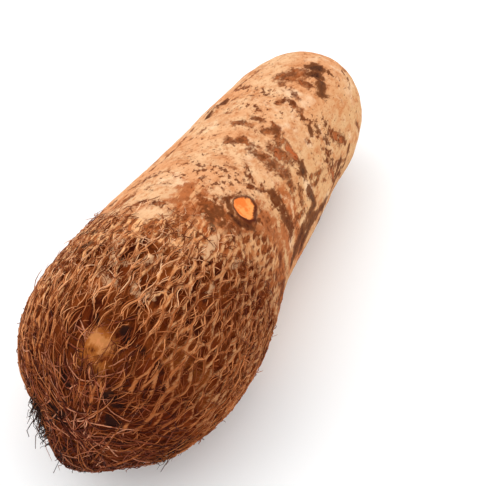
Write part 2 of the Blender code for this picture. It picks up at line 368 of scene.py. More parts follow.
# Marks on the skin as strokes: from x, y to x, y in the photo's pixels, half width in mm, strength
marks = {
    "stain": (
        (286, 76, 303, 73, 4.6, 1.0), (277, 77, 282, 85, 1.7, 0.8), (290, 88, 295, 97, 1.8, 0.8),
        (302, 82, 308, 86, 2.4, 0.9), (279, 103, 288, 100, 1.6, 1.0), (292, 103, 299, 109, 2.0, 1.0),
        (300, 112, 304, 118, 1.5, 0.9), (236, 123, 249, 124, 1.8, 1.0), (254, 118, 262, 120, 1.7, 1.0),
        (267, 131, 278, 130, 2.6, 1.0), (273, 122, 274, 126, 1.3, 0.9), (230, 140, 243, 140, 2.6, 1.0),
        (246, 142, 258, 146, 1.7, 0.9), (254, 152, 264, 157, 2.9, 1.0), (277, 136, 279, 146, 1.7, 1.0),
        (275, 152, 286, 158, 3.6, 0.95), (271, 166, 282, 170, 3.2, 1.0), (284, 176, 290, 184, 2.8, 1.0),
        (289, 186, 293, 196, 1.9, 0.85), (288, 148, 296, 157, 2.0, 1.0), (247, 165, 250, 178, 1.4, 0.7),
        (331, 134, 344, 141, 2.6, 1.0), (324, 149, 328, 155, 1.7, 1.0), (327, 160, 330, 164, 1.3, 0.9),
        (331, 171, 334, 178, 1.9, 0.9), (341, 172, 344, 178, 1.6, 0.9), (346, 158, 348, 166, 1.4, 0.8),
        (357, 122, 359, 130, 1.4, 0.9), (214, 109, 226, 101, 1.8, 1.1), (236, 90, 262, 89, 1.3, 0.75),
        (250, 95, 268, 97, 1.1, 0.6), (255, 104, 259, 111, 1.2, 0.65), (262, 100, 266, 104, 0.9, 0.6),
        (216, 200, 236, 197, 2.2, 0.7), (262, 212, 268, 228, 2.4, 0.7), (300, 190, 303, 212, 2.0, 0.7),
        (290, 238, 300, 216, 2.4, 0.8), (138, 203, 143, 201, 1.7, 1.0), (156, 203, 161, 204, 1.6, 1.0),
        (153, 176, 170, 170, 1.4, 0.7), (120, 206, 136, 192, 1.8, 0.8), (140, 184, 150, 176, 1.2, 0.7),
        (229, 166, 240, 172, 1.3, 0.7), (262, 184, 268, 192, 1.6, 0.7), (246, 186, 260, 190, 1.5, 0.8),
        (262, 69, 238, 87, 0.6, 0.7), (200, 122, 178, 146, 0.7, 0.8), (176, 148, 150, 171, 0.8, 0.8),
        (344, 70, 350, 92, 1.2, 0.6), (216, 116, 232, 112, 1.0, 0.5), (204, 138, 222, 132, 1.2, 0.5),
        (210, 110, 224, 104, 2.0, 0.9), (228, 102, 246, 94, 1.4, 0.6), (190, 140, 206, 128, 1.2, 0.6),
        (288, 172, 292, 188, 2.4, 0.9), (262, 158, 276, 164, 2.6, 0.9), (282, 140, 292, 156, 2.4, 0.9),
        (208, 206, 234, 226, 6.0, 0.75), (232, 230, 262, 236, 4.0, 0.5), (273, 194, 281, 208, 3.2, 1.0),
        (282, 210, 291, 230, 3.4, 1.0), (176, 160, 196, 156, 1.2, 0.5), (150, 186, 170, 184, 1.4, 0.6),
        (80, 246, 96, 244, 1.8, 1.0), (92, 232, 108, 231, 1.2, 0.9), (306, 138, 312, 146, 1.0, 0.6),
        (310, 150, 314, 158, 1.0, 0.5),
    ),
    "dark": (
        (311, 67, 319, 68, 2.9, 1.5), (312, 75, 320, 76, 2.9, 1.35), (320, 83, 322, 94, 3.2, 1.15),
        (328, 72, 330, 75, 1.1, 1.0), (129, 190, 136, 186, 1.2, 1.1), (109, 206, 116, 201, 1.0, 0.9),
        (289, 101, 294, 103, 1.5, 1.0), (301, 116, 304, 120, 1.3, 0.9), (308, 124, 311, 132, 1.3, 1.0),
        (316, 126, 318, 132, 1.9, 1.0), (311, 135, 313, 138, 1.2, 0.9), (325, 124, 327, 131, 1.6, 0.85),
        (323, 139, 327, 141, 1.5, 0.85), (343, 138, 344, 144, 1.9, 0.8), (301, 163, 304, 173, 2.1, 1.3),
        (298, 172, 300, 176, 1.2, 0.8), (273, 193, 280, 206, 3.2, 0.9), (281, 208, 291, 230, 3.6, 0.95),
        (309, 190, 314, 205, 2.3, 1.2), (312, 208, 309, 216, 1.9, 1.1), (312, 220, 301, 248, 3.2, 1.15),
        (325, 202, 316, 229, 3.0, 1.0), (323, 208, 318, 222, 2.4, 1.0), (341, 158, 335, 178, 1.8, 1.0),
        (80, 236, 96, 232, 1.5, 1.2), (80, 247, 92, 243, 1.6, 1.2), (98, 239, 110, 235, 1.0, 0.8),
        (349, 146, 343, 166, 1.4, 0.9),
        (341, 168, 332, 188, 1.6, 0.9), (331, 190, 326, 202, 1.4, 0.8), (318, 224, 308, 246, 2.2, 1.0),
        (303, 230, 292, 262, 3.2, 1.15), (212, 109, 225, 102, 2.6, 1.1), (207, 118, 211, 114, 1.6, 1.2),
        (230, 138, 240, 140, 1.6, 0.6), (268, 128, 276, 131, 1.8, 0.7), (256, 154, 264, 156, 1.9, 0.7),
        (254, 119, 260, 120, 1.3, 0.7), (272, 166, 276, 168, 1.6, 0.7), (342, 70, 349, 84, 1.0, 0.6),
        (147, 166, 156, 161, 1.0, 0.9), (207, 206, 211, 228, 1.5, 0.9), (215, 200, 216, 216, 1.2, 0.7),
        (221, 206, 221, 226, 1.4, 0.8), (227, 198, 231, 214, 1.3, 1.0), (230, 212, 240, 224, 1.6, 1.3),
        (241, 225, 253, 229, 1.4, 1.3), (254, 228, 258, 219, 0.9, 1.1), (231, 196, 243, 193, 0.7, 1.0),
        (126, 328, 128, 340, 2.0, 1.1), (95, 316, 98, 322, 1.7, 1.0), (158, 362, 161, 372, 1.9, 1.1),
        (139, 347, 142, 353, 1.8, 0.9), (191, 323, 199, 335, 2.2, 0.85), (107, 396, 117, 405, 2.6, 1.4),
        (110, 420, 117, 424, 2.4, 1.2), (62, 372, 67, 386, 1.9, 1.2), (52, 409, 62, 419, 3.2, 1.5),
        (108, 262, 118, 252, 2.4, 0.6), (84, 262, 92, 252, 2.2, 0.7), (205, 300, 212, 288, 2.4, 0.7),
        (175, 330, 180, 318, 2.0, 0.6), (90, 405, 96, 414, 2.2, 0.8),
    ),
    "rust": (
        (174, 196, 196, 190, 6.0, 1.0), (180, 214, 204, 206, 6.0, 1.0), (184, 232, 214, 226, 7.0, 1.0),
        (208, 212, 238, 218, 6.0, 1.0), (214, 238, 262, 240, 7.0, 1.0), (262, 214, 276, 250, 6.0, 1.1),
        (284, 198, 298, 250, 5.0, 1.1), (150, 232, 176, 226, 5.0, 0.9), (84, 232, 108, 224, 5.0, 0.9),
        (110, 224, 134, 214, 3.6, 0.8), (296, 226, 300, 256, 5.0, 0.9), (116, 206, 126, 196, 2.2, 0.7),
        (136, 186, 152, 174, 2.2, 0.6), (172, 172, 182, 178, 2.0, 0.5), (236, 232, 256, 226, 5.0, 0.9),
        (272, 222, 282, 262, 4.4, 1.0), (284, 232, 290, 266, 3.4, 1.0), (318, 150, 330, 176, 1.6, 0.5),
    ),
    "red": (
        (288, 150, 296, 157, 2.0, 1.0), (336, 138, 344, 141, 2.0, 0.6), (332, 171, 334, 178, 2.0, 0.8),
        (277, 150, 284, 168, 3.4, 0.5), (184, 206, 194, 212, 3.6, 0.7), (200, 228, 214, 236, 4.0, 0.6),
        (300, 82, 306, 88, 2.2, 0.5), (81, 387, 92, 395, 2.6, 1.0), (118, 413, 124, 416, 1.4, 0.7),
        (216, 338, 222, 350, 3.4, 0.6), (245, 262, 262, 280, 5.0, 0.5), (222, 245, 240, 252, 4.0, 0.5),
    ),
    "freckle": (
        (184, 163, 202, 165, 3.0, 1.0), (196, 173, 222, 172, 3.6, 1.0), (206, 183, 222, 186, 3.0, 0.9),
        (228, 180, 257, 186, 4.0, 1.0), (246, 169, 249, 178, 2.4, 0.8), (237, 90, 269, 94, 3.4, 0.8),
        (250, 104, 266, 112, 3.4, 0.7), (304, 118, 330, 134, 4.4, 0.9), (318, 136, 332, 160, 3.6, 0.75),
        (326, 160, 334, 184, 3.0, 0.7), (284, 100, 306, 120, 3.6, 0.6), (296, 165, 306, 190, 3.6, 0.6),
        (264, 196, 300, 230, 4.4, 0.5), (150, 176, 190, 178, 3.4, 0.7), (120, 212, 150, 192, 4.0, 0.6),
        (190, 150, 216, 152, 3.0, 0.5), (216, 112, 240, 106, 2.6, 0.45),
    ),
    "gold": (
        (96, 338, 104, 345, 3.3, 1.4), (86, 356, 98, 368, 4.6, 0.75), (172, 352, 208, 376, 5.5, 0.55),
        (200, 402, 219, 393, 3.4, 0.5), (226, 388, 236, 372, 3.0, 0.4), (74, 440, 84, 452, 3.4, 0.45),
    ),
    "cream": (
        (128, 202, 162, 194, 4.6, 1.0), (144, 214, 161, 212, 4.0, 1.0), (118, 210, 126, 204, 2.4, 0.8),
        (205, 255, 217, 236, 1.9, 1.0), (202, 222, 206, 212, 1.0, 0.8), (214, 214, 216, 204, 0.8, 0.7),
        (112, 262, 118, 240, 2.4, 0.7), (130, 262, 150, 258, 2.6, 0.6), (262, 232, 272, 250, 2.6, 0.5),
        (104, 276, 112, 284, 2.4, 0.6), (134, 288, 150, 298, 2.4, 0.6), (208, 296, 214, 286, 1.2, 0.8),
        (276, 196, 288, 200, 2.6, 0.6), (246, 236, 254, 244, 2.0, 0.5), (232, 268, 240, 262, 1.2, 0.7),
        (291, 200, 294, 228, 1.2, 0.7), (305, 206, 306, 222, 1.0, 0.6),
    ),
}
markEdges = {
    "shift": 0.0011,
    "large": 0.0045,  # size of the shift's noise
    "small": 0.0020,
    "smallShare": 0.6,
    "fall": 0.7,
}
strayMarks = {  # on the sides that the photo doesn't show
    "count": 46,
    "shares": (0.46, 0.97),
    "degrees": (104.0, 300.0),
    "halfWidth": (0.9, 3.6),
    "length": (0.0, 0.010),
    "slant": 7.0,
    "darkShare": 0.3,
    "seed": 17,
}


def raggedPlaces(points):
    # the points shifted a little, so that strokes read there come out crooked
    large, small, smallShare = markEdges["large"], markEdges["small"], markEdges["smallShare"]
    shift = [lumps(points, ((1.0, large, apart), (smallShare, small, -apart))) for apart in (0.0, 1.0, 2.0)]
    return points + markEdges["shift"] * np.stack(shift, axis=-1)


def strokeValue(points, ends, halfWidth, strength):
    # strongest on the stroke's middle line, with a soft fall to both sides
    first, last = (np.array(end) for end in ends)
    line = last - first
    length = max(float(line @ line), 1e-12)
    along = np.clip((points - first) @ line / length, 0.0, 1.0)
    gap = np.linalg.norm(points - first - along[:, None] * line, axis=1) / (halfWidth * 0.001)
    return strength * np.exp(-markEdges["fall"] * gap**2)


def strayStrokes():
    draw = random.Random(strayMarks["seed"])
    strokes = []
    for _ in range(strayMarks["count"]):
        share, degrees = draw.uniform(*strayMarks["shares"]), draw.uniform(*strayMarks["degrees"])
        run, slant = draw.uniform(*strayMarks["length"]), draw.gauss(0, strayMarks["slant"])
        far = min(0.99, share + run / form["length"])
        ends = onCorm(np.array([share, far]), np.array([degrees, degrees + slant]))
        halfWidth = draw.uniform(*strayMarks["halfWidth"])
        strokes.append((ends, halfWidth, draw.uniform(0.7, 1.0), draw.random() < strayMarks["darkShare"]))
    return strokes


def markValues(name, points):
    # the strongest mark of this kind at each point, from 0 to about 1
    strongest = np.zeros(len(points))
    for x0, y0, x1, y1, halfWidth, strength in marks[name]:
        ends = underPixel(x0, y0), underPixel(x1, y1)
        strongest = np.maximum(strongest, strokeValue(points, ends, halfWidth, strength))
    for ends, halfWidth, strength, isDark in strayStrokes():
        if name == "stain" or (name == "dark" and isDark) or name == "freckle":
            wider = 2.0 if name == "freckle" else 1.0
            strongest = np.maximum(strongest, strokeValue(points, ends, halfWidth * wider, strength))
    return strongest


# Skin: one closed mesh, with most of its rings in the hairy half
skin = {
    "segments": 430,
    "rings": 222,
    "ringsInNet": 0.64,
    "netEnds": 0.60,
    "scarPlace": (0.411, 32.0),
    "scarLong": 0.0064,
    "scarWide": 0.0046,
    "scarDepth": 0.0008,
    "scarRim": 0.0006,
    "scarPoint": -118.0,  # degrees: where the teardrop points, to the lower right of the photo
    "ringHeight": 0.00022,
    "ringSpacing": 0.048,
    "ringWidth": 0.12,
    "buttHollow": 0.45,  # of the hollows' depth, at the butt's end
    "coarseSlope": 0.0018,
    "fineRidge": 0.00030,
    "fineHollow": 0.00045,
    "fineSlope": 0.0014,
    "hairyLumps": ((0.0006, 0.0065, 0.0), (0.00035, 0.0028, 0.3)),
    "bareLumps": ((0.00022, 0.004, 0.0), (0.00035, 0.013, 0.0)),
    "budDips": ((0.00055, 0.55, 0.12), (0.0005, 1.18, 0.14)),  # depth, and place and width in radii
    "buds": (  # share, degrees, radius, height
        (0.048, 7.0, 0.0070, 0.0022),
        (0.823, 24.0, 0.0052, 0.0015),
        (0.672, -33.0, 0.0050, 0.0020),
        (0.260, -104.0, 0.0060, 0.0018),
        (0.335, 133.0, 0.0062, 0.0018),
        (0.560, -128.0, 0.0060, 0.0016),
    ),
}


def ringShare(position):
    # position runs evenly along the mesh's rings, 0 at the butt's pole and 1 at the tip's
    split = skin["ringsInNet"]
    inNet = skin["netEnds"] * (1.0 - np.cos(0.5 * math.pi * np.clip(position / split, 0, 1)))
    past = np.clip((position - split) / (1.0 - split), 0, 1)
    onTip = skin["netEnds"] + (1.0 - skin["netEnds"]) * np.sin(0.5 * math.pi * past)
    return np.where(position < split, inNet, onTip)


def placeOfDirection(direction):
    # share and degrees of a vertex of the unit sphere whose poles lie on X
    position = np.arccos(np.clip(-direction[:, 0], -1.0, 1.0)) / math.pi
    return np.clip(ringShare(position), 0.0, 1.0), np.degrees(np.arctan2(-direction[:, 1], direction[:, 2]))


def budLift(points):
    # squat domes with a dip round a small cap
    lift = np.zeros(len(points))
    for share, degrees, radius, height in skin["buds"]:
        reach = np.linalg.norm(points - oneSpot(share, degrees)[0], axis=1) / radius
        lift += height * (1.0 - eased(reach / 1.25))
        for depth, place, width in skin["budDips"]:
            lift -= depth * np.exp(-(((reach - place) / width) ** 2))
    return lift


def scarShape(points):
    # 0 at the scar's middle and 1 at its edge, a ragged teardrop
    centre, normal = oneSpot(*skin["scarPlace"])
    around = np.cross(normal, (1.0, 0.0, 0.0))
    around /= np.linalg.norm(around)
    along = np.cross(around, normal)
    offset = points - centre
    a, b = offset @ along, offset @ around
    angle = np.arctan2(b, a)
    pointing = np.cos(angle - math.radians(skin["scarPoint"]))
    tear = 1.0 + 0.20 * np.maximum(0.0, pointing) ** 4 + 0.05 * np.cos(3 * angle + 1.0)
    reach = np.hypot(a / skin["scarLong"], b / skin["scarWide"]) / tear + 0.10 * noiseAt(points, 0.0022)
    below = 0.5 + 0.5 * pointing
    near = np.abs(offset @ normal) < 0.012
    return np.where(near, reach, 9.0), np.where(near, below, 0.0)


def relief(share, degrees, points):
    # the fine lift of the skin, and the values that its colour needs
    coarse, fine = netZones(share, degrees, points)
    plain = 1.0 - eased((markValues("cream", points) - 0.55) / 0.30)
    coarse, fine = coarse * plain, fine * plain
    coarseBar, coarseGap = netBar("coarse", points)
    fineBar, fineGap = netBar("fine", points)
    scar, below = scarShape(points)
    calm = eased((scar - 1.0) / 0.8) * eased((points[:, 2] - 0.0006) / 0.004)
    shallow = skin["buttHollow"]
    hollow = netShape["hollow"] * (shallow + (1.0 - shallow) * eased(share / 0.12))
    hollow = hollow * (1.0 - coarseBar) * eased(coarseGap / skin["coarseSlope"])
    coarseLift = netShape["ridge"] * coarseBar - hollow
    fineHollow = skin["fineHollow"] * (1.0 - fineBar) * eased(fineGap / skin["fineSlope"])
    fineLift = skin["fineRidge"] * fineBar - fineHollow
    lift = coarse * coarseLift + fine * (1.0 - 0.5 * coarse) * fineLift
    hairy = np.maximum(coarse, fine)
    lift += hairy * lumps(points, skin["hairyLumps"]) + (1.0 - hairy) * lumps(points, skin["bareLumps"])
    # faint rings where old leaves sat, on the bare half
    wobble = share + 0.004 * noiseAt(points, 0.02)
    ring = np.abs((wobble / skin["ringSpacing"]) % 1.0 - 0.5) * 2.0
    lift -= (1.0 - hairy) * skin["ringHeight"] * np.exp(-(((1.0 - ring) / skin["ringWidth"]) ** 2))
    lift *= calm
    lift += budLift(points)
    lift += skin["scarRim"] * np.exp(-(((scar - 1.12) / 0.16) ** 2))
    lift -= skin["scarDepth"] * (1.0 - eased((scar - 0.45) / 0.55))
    values = {"coarse": coarse, "fine": fine, "coarseBar": coarseBar, "fineBar": fineBar}
    return lift, {**values, "scar": scar, "scarBelow": below}


def meshPoints(mesh):
    points = np.empty(len(mesh.vertices) * 3)
    mesh.vertices.foreach_get("co", points)
    return points.reshape(-1, 3)


def addValues(mesh, name, values):
    attribute = mesh.attributes.new(name, "FLOAT", "POINT")
    attribute.data.foreach_set("value", np.asarray(values, dtype=np.float32))


def addVectors(mesh, name, values):
    attribute = mesh.attributes.new(name, "FLOAT_VECTOR", "POINT")
    attribute.data.foreach_set("vector", np.asarray(values, dtype=np.float32).ravel())


def grainOf(share, degrees):
    # coordinates that follow the fibres: along the corm, and round it at a radius that shrinks at the tip
    angle = np.radians(degrees)
    along = share * form["length"] + 0.020 * np.sqrt(np.clip(share / 0.2, 0, 1))
    spoke = 0.042 * capShare(form["length"] * (1.0 - share), form["tipCap"])
    return np.stack([along, -spoke * np.sin(angle), spoke * np.cos(angle)], axis=-1)


def newObject(bm, name):
    mesh = bpy.data.meshes.new(name)
    bm.to_mesh(mesh)
    bm.free()
    obj = bpy.data.objects.new(name, mesh)
    bpy.context.scene.collection.objects.link(obj)
    return obj


# painted shade: skin and fibres are darkened low down and on the butt's -Y side, away from the key light
paintedShadePlaces = {
    "height": 0.036,  # painted shade: skin and fibres are darker below this
    "sideStart": 0.012,  # and past this towards -Y, where the butt is
    "sideFade": 0.024,
    "buttEnd": -0.045,
    "buttFade": 0.05,
}


def paintedShadeOf(points):
    # painted shade: 1 low down and on the butt's -Y side, 0 where the light falls
    low = 1.0 - eased(points[:, 2] / paintedShadePlaces["height"])
    side = eased((-points[:, 1] - paintedShadePlaces["sideStart"]) / paintedShadePlaces["sideFade"])
    side *= 1.0 - eased((points[:, 0] - paintedShadePlaces["buttEnd"]) / paintedShadePlaces["buttFade"])
    return np.maximum(low, side)


def makeSkin():
    bm = bmesh.new()
    bmesh.ops.create_uvsphere(bm, u_segments=skin["segments"], v_segments=skin["rings"], radius=1.0)
    bmesh.ops.rotate(bm, verts=bm.verts[:], matrix=Matrix.Rotation(math.radians(90), 3, "Y"))
    obj = newObject(bm, "cormSkin")
    mesh = obj.data
    share, degrees = placeOfDirection(meshPoints(mesh))
    plain = onCorm(share, degrees)
    lift, values = relief(share, degrees, plain)
    points = plain + smoothNormal(share, degrees) * lift[:, None]
    points[:, 2] = np.maximum(points[:, 2], 0.0)
    mesh.vertices.foreach_set("co", points.ravel())
    ragged = raggedPlaces(plain)
    for name in marks:
        addValues(mesh, name, markValues(name, ragged))
    values.update(share=share, side=np.sin(np.radians(degrees)), dull=paintedShadeOf(plain))
    for name in values:
        addValues(mesh, name, values[name])
    addVectors(mesh, "grain", grainOf(share, degrees))
    mesh.shade_smooth()
    mesh.update()
    print("skin:", len(mesh.vertices), "vertices")
    return obj


# Fibres are curves of four sides with capped ends, made meshes at the end
def makeFibres(name, strands):
    curve = bpy.data.curves.new(name, "CURVE")
    curve.dimensions = "3D"
    curve.bevel_depth = 1.0  # so that a point's radius is its size in metres
    curve.bevel_resolution = 0
    curve.use_fill_caps = True
    for points, radii, _ in strands:
        spline = curve.splines.new("POLY")
        spline.points.add(len(points) - 1)
        spline.points.foreach_set("co", np.column_stack([points, np.ones(len(points))]).ravel())
        spline.points.foreach_set("radius", radii)
    guide = bpy.data.objects.new(name + "Guide", curve)
    bpy.context.scene.collection.objects.link(guide)
    bpy.context.view_layer.update()
    mesh = bpy.data.meshes.new_from_object(guide.evaluated_get(bpy.context.evaluated_depsgraph_get()))
    bpy.data.objects.remove(guide)
    bpy.data.curves.remove(curve)
    bm = bmesh.new()
    bm.from_mesh(mesh)
    bpy.data.meshes.remove(mesh)
    bmesh.ops.remove_doubles(bm, verts=bm.verts[:], dist=1e-6)
    bmesh.ops.recalc_face_normals(bm, faces=bm.faces[:])
    obj = newObject(bm, name)
    giveTones(obj.data, strands)
    obj.data.shade_smooth()
    triangles = sum(len(face.vertices) - 2 for face in obj.data.polygons)
    print(name + ":", len(strands), "fibres,", triangles, "triangles")
    return obj


def giveTones(mesh, strands):
    # each vertex takes the tone of the fibre whose middle line is nearest
    tree = kdtree.KDTree(sum(len(points) for points, _, _ in strands))
    tones = []
    for points, _, tone in strands:
        for point in points:
            tree.insert(point, len(tones))
            tones.append(tone)
    tree.balance()
    addValues(mesh, "tone", [tones[tree.find(vert.co)[1]] for vert in mesh.vertices])


fibreLimits = {
    "bareMarks": {"dark": 0.9, "gold": 0.85, "cream": 0.9},  # where these are strong, no fibre lies
    "bareAbove": 0.7,
    "scarRoom": 1.1,
    "floorGap": 0.0002,
    # painted shade: how much darker fibres are made low down and on the butt's -Y side
    "paintedShadeDepth": 0.4,
}


def layOnCorm(paths):
    # paths are (share, degrees, lift, radii, tone); all are worked out at once, then cut apart again
    share, degrees, lift = (np.concatenate([path[part] for path in paths]) for part in range(3))
    ends = np.cumsum([len(path[0]) for path in paths])
    lines = np.split(onCorm(share, degrees, lift), ends[:-1])
    middles = np.array([line[len(line) // 2] for line in lines])
    bareMarks = fibreLimits["bareMarks"].items()
    bare = np.max([markValues(name, middles) * weight for name, weight in bareMarks], axis=0)
    scarMiddle = oneSpot(*skin["scarPlace"])[0]
    strands = []
    for path, line, bareHere, dull in zip(paths, lines, bare, paintedShadeOf(middles)):
        line[:, 2] = np.maximum(line[:, 2], path[3] + fibreLimits["floorGap"])
        fromScar = np.linalg.norm(line - scarMiddle, axis=1).min()
        if bareHere < fibreLimits["bareAbove"] and fromScar > skin["scarLong"] * fibreLimits["scarRoom"]:
            # painted shade darkens each fibre's tone low down and on the butt's -Y side
            strands.append((line, path[3], path[4] * (1.0 - fibreLimits["paintedShadeDepth"] * dull)))
    return strands


def taper(along, reach):
    return eased(np.minimum(along, 1.0 - along) / reach)


def shadeAt(share):
    # fibres are darker towards the butt's end
    return 0.45 + 0.55 * min(1.0, share / 0.15)


# Fibres that are pieces of the nets' own lines
netFibres = {
    "net": "coarse",
    "seed": 21,
    "runsPerLine": 30,
    "length": (0.004, 0.013),
    "leastStrength": 0.30,
    "reach": (0.17, 0.32),  # shares past which runs are left out, drawn for each
    "fewerBelow": 0.12,
    "every": 2,
    "asides": (-0.0004, -0.0002, 0.0, 0.0002, 0.0004),
    "asideSpread": 0.00012,
    "stray": 1.2,  # degrees
    "lift": (0.0, 0.0005),
    "hump": (0.0, 0.0005),
    "radius": (0.00011, 0.00026),
}
fineFibres = {
    **netFibres,
    "net": "fine",
    "seed": 22,
    "runsPerLine": 22,
    "length": (0.003, 0.008),
    "leastStrength": 0.35,
    "reach": (0.16, 0.34),
    "asides": (-0.0002, 0.0, 0.0002),
    "stray": 1.6,
    "lift": (0.0, 0.0004),
    "radius": (0.00010, 0.00022),
}


def runAlong(share, degrees, facts, draw):
    # one fibre beside this stretch of a net's line, its ends sunk in the skin
    along = np.linspace(0, 1, len(share))
    aside = draw.choice(facts["asides"]) + draw.gauss(0, facts["asideSpread"])
    stray = np.linspace(0, draw.gauss(0, facts["stray"]), len(share))
    turned = degrees + np.degrees(aside / np.maximum(radiusAt(share), 0.006)) + stray
    lift = draw.uniform(*facts["lift"]) + draw.uniform(*facts["hump"]) * np.sin(math.pi * along)
    lift -= 0.0007 * (1.0 - taper(along, 0.12)) + 0.0003 * (1.0 - eased(share / 0.1))
    radii = draw.uniform(*facts["radius"]) * (0.35 + 0.65 * taper(along, 0.25))
    return share, turned, lift, radii, draw.random() * shadeAt(share.mean())


def makeRuns(name, facts):
    draw = random.Random(facts["seed"])
    step = nets[facts["net"]]["sample"] * form["length"]
    paths = []
    for share, degrees, strength in courses[facts["net"]]:
        for _ in range(facts["runsPerLine"]):
            count = int(draw.uniform(*facts["length"]) / step)
            start = draw.randrange(-count // 2, len(share) - 3)
            first, last = max(0, start), min(len(share), start + count)
            if last - first < 5 or strength[first:last].mean() < facts["leastStrength"]:
                continue
            middle = share[first:last].mean()
            if middle > draw.uniform(*facts["reach"]):
                continue
            if draw.random() > 0.35 + 0.65 * middle / facts["fewerBelow"]:
                continue
            places = np.linspace(first, last - 1, max(5, (last - first) // facts["every"]))
            pick = np.unique(places.astype(int))
            paths.append(runAlong(share[pick], degrees[pick], facts, draw))
    return makeFibres(name, layOnCorm(paths))


fineHairs = {  # short and crumpled, most of them along the net
    "count": 3000,
    "length": (0.0015, 0.0065),
    "radius": (0.00009, 0.00020),
    "lift": (0.0, 0.0007),
    "looseShare": 0.04,  # of them, those that stand off the skin
    "looseLift": (0.0006, 0.0024),
    "points": 5,
    "heading": 0.65,  # spreads of the heading and the bend
    "bend": 0.8,
    "crinkle": 0.0003,
    "reach": 0.33,
}


def makeFineHairs():
    draw = random.Random(5)
    paths = []
    while len(paths) < fineHairs["count"]:
        share = 0.005 + fineHairs["reach"] * draw.random() ** 0.9
        degrees = draw.uniform(-180, 180)
        if abs(degrees) > 165 and share > 0.15:
            continue  # the belly rests on the floor here
        loose = draw.random() < fineHairs["looseShare"]
        length = draw.uniform(*fineHairs["length"]) * (1.3 if loose else 1.0)
        along = np.linspace(0, 1, fineHairs["points"])
        room = max(0.008, float(radiusAt(np.array(share))))
        heading = draw.gauss(0, fineHairs["heading"])
        bend = draw.gauss(0, fineHairs["bend"])
        way = draw.choice((-1, 1))
        crinkle = fineHairs["crinkle"] * np.array([draw.gauss(0, 1) for _ in along])
        shares = np.clip(share + way * length * math.cos(heading) * along / form["length"], 0.002, 0.98)
        aside = length * (math.sin(heading) * along + 0.5 * bend * along**2) + crinkle
        lift = 0.0002 + draw.uniform(*fineHairs["lift"]) * np.sin(math.pi * along) + 0.0002 * draw.random()
        lift += draw.uniform(*fineHairs["looseLift"]) * along**1.5 * loose
        radii = draw.uniform(*fineHairs["radius"]) * (0.4 + 0.6 * taper(along, 0.4))
        tone = draw.random() * shadeAt(share)
        paths.append((shares, degrees + np.degrees(aside / room), lift, radii, tone))
    return makeFibres("fineHairs", layOnCorm(paths))


buttTangle = {
    "count": 600,
    "length": (0.004, 0.017),
    "radius": (0.00011, 0.00026),
    "points": 12,
    "reach": 0.036,
    "centre": (-0.004, -0.006),  # across and up from the axis, where most of them head
    "stray": 0.6,
    "turn": 1.0,
    "crinkle": 0.10,
    "lift": (0.0001, 0.0009),
    "sunk": 0.0003,
    "capRadius": 0.050,
}


def makeButtTangle():
    # long thin roots that cross one another over the butt's end
    draw = random.Random(11)
    paths = []
    steps = np.linspace(0, 1, buttTangle["points"])
    for _ in range(buttTangle["count"]):
        reach = buttTangle["reach"] * draw.random() ** 0.6
        angle = draw.uniform(-math.pi, math.pi)
        across = Vector((reach * math.cos(angle), reach * math.sin(angle)))
        inward = Vector(buttTangle["centre"]) - across
        heading = math.atan2(inward.y, inward.x) + draw.gauss(0, buttTangle["stray"])
        turn = draw.gauss(0, buttTangle["turn"])
        step = draw.uniform(*buttTangle["length"]) / (len(steps) - 1)
        crinkle = np.array([draw.gauss(0, buttTangle["crinkle"]) for _ in steps])
        headings = heading + turn * steps + crinkle
        u = across.x + step * np.cumsum(np.cos(headings))
        v = across.y + step * np.cumsum(np.sin(headings))
        # on the cap, the distance from the pole gives the share
        height = np.sqrt(np.clip(1.0 - (np.hypot(u, v) / buttTangle["capRadius"]) ** 2, 0.0, 1.0))
        share = np.clip((form["buttCap"] / form["length"]) * (1.0 - height), 0.000002, 0.9)
        lift = draw.uniform(*buttTangle["lift"]) * np.sin(math.pi * steps) ** 0.7 - buttTangle["sunk"]
        radii = draw.uniform(*buttTangle["radius"]) * (0.4 + 0.6 * taper(steps, 0.2))
        paths.append((share, np.degrees(np.arctan2(-u, v)), lift, radii, draw.random() ** 0.85))
    return makeFibres("buttTangle", layOnCorm(paths))


edgeHairs = {
    "tufts": (  # share, degrees, hairs, length, droop
        (0.022, -76.0, 12, 0.011, 6.0),
        (0.016, -86.0, 16, 0.022, 12.0),
        (0.018, -98.0, 22, 0.028, 14.0),
        (0.024, -110.0, 14, 0.014, 8.0),
        (0.395, -46.0, 3, 0.003, 0.4),
        (0.359, -53.0, 3, 0.003, 0.4),
        (0.320, -55.0, 2, 0.003, 0.4),
        (0.244, -57.0, 3, 0.004, 0.6),
        (0.028, -122.0, 18, 0.007, 2.0),
        (0.028, -138.0, 20, 0.004, 1.0),
        (0.026, -156.0, 24, 0.003, 0.4),
        (0.029, -173.0, 24, 0.003, 0.2),
        (0.036, 172.0, 24, 0.003, 0.2),
        (0.046, 158.0, 20, 0.003, 0.2),
        (0.060, 140.0, 16, 0.003, 0.4),
        (0.082, 117.0, 14, 0.010, 0.0),
        (0.125, 107.0, 7, 0.004, 0.3),
        (0.207, -44.0, 5, 0.004, 0.0),
        (0.110, -60.0, 6, 0.004, 0.4),
        (0.060, -72.0, 8, 0.005, 1.4),
        (0.10, -120.0, 8, 0.005, 0.8),
        (0.20, -110.0, 6, 0.005, 0.8),
        (0.30, -100.0, 5, 0.004, 0.8),
        (0.12, 150.0, 6, 0.005, 0.5),
        (0.22, 125.0, 5, 0.004, 0.5),
    ),
    "radius": (0.00012, 0.00032),
    "points": 7,
    "spread": 0.12,
    "rootSpread": (0.008, 6.0),  # share and degrees
    "rootDepth": 0.0006,
    "density": 3,
}


def gaussVector(draw, *spreads):
    return np.array([draw.gauss(0, spread) for spread in spreads])


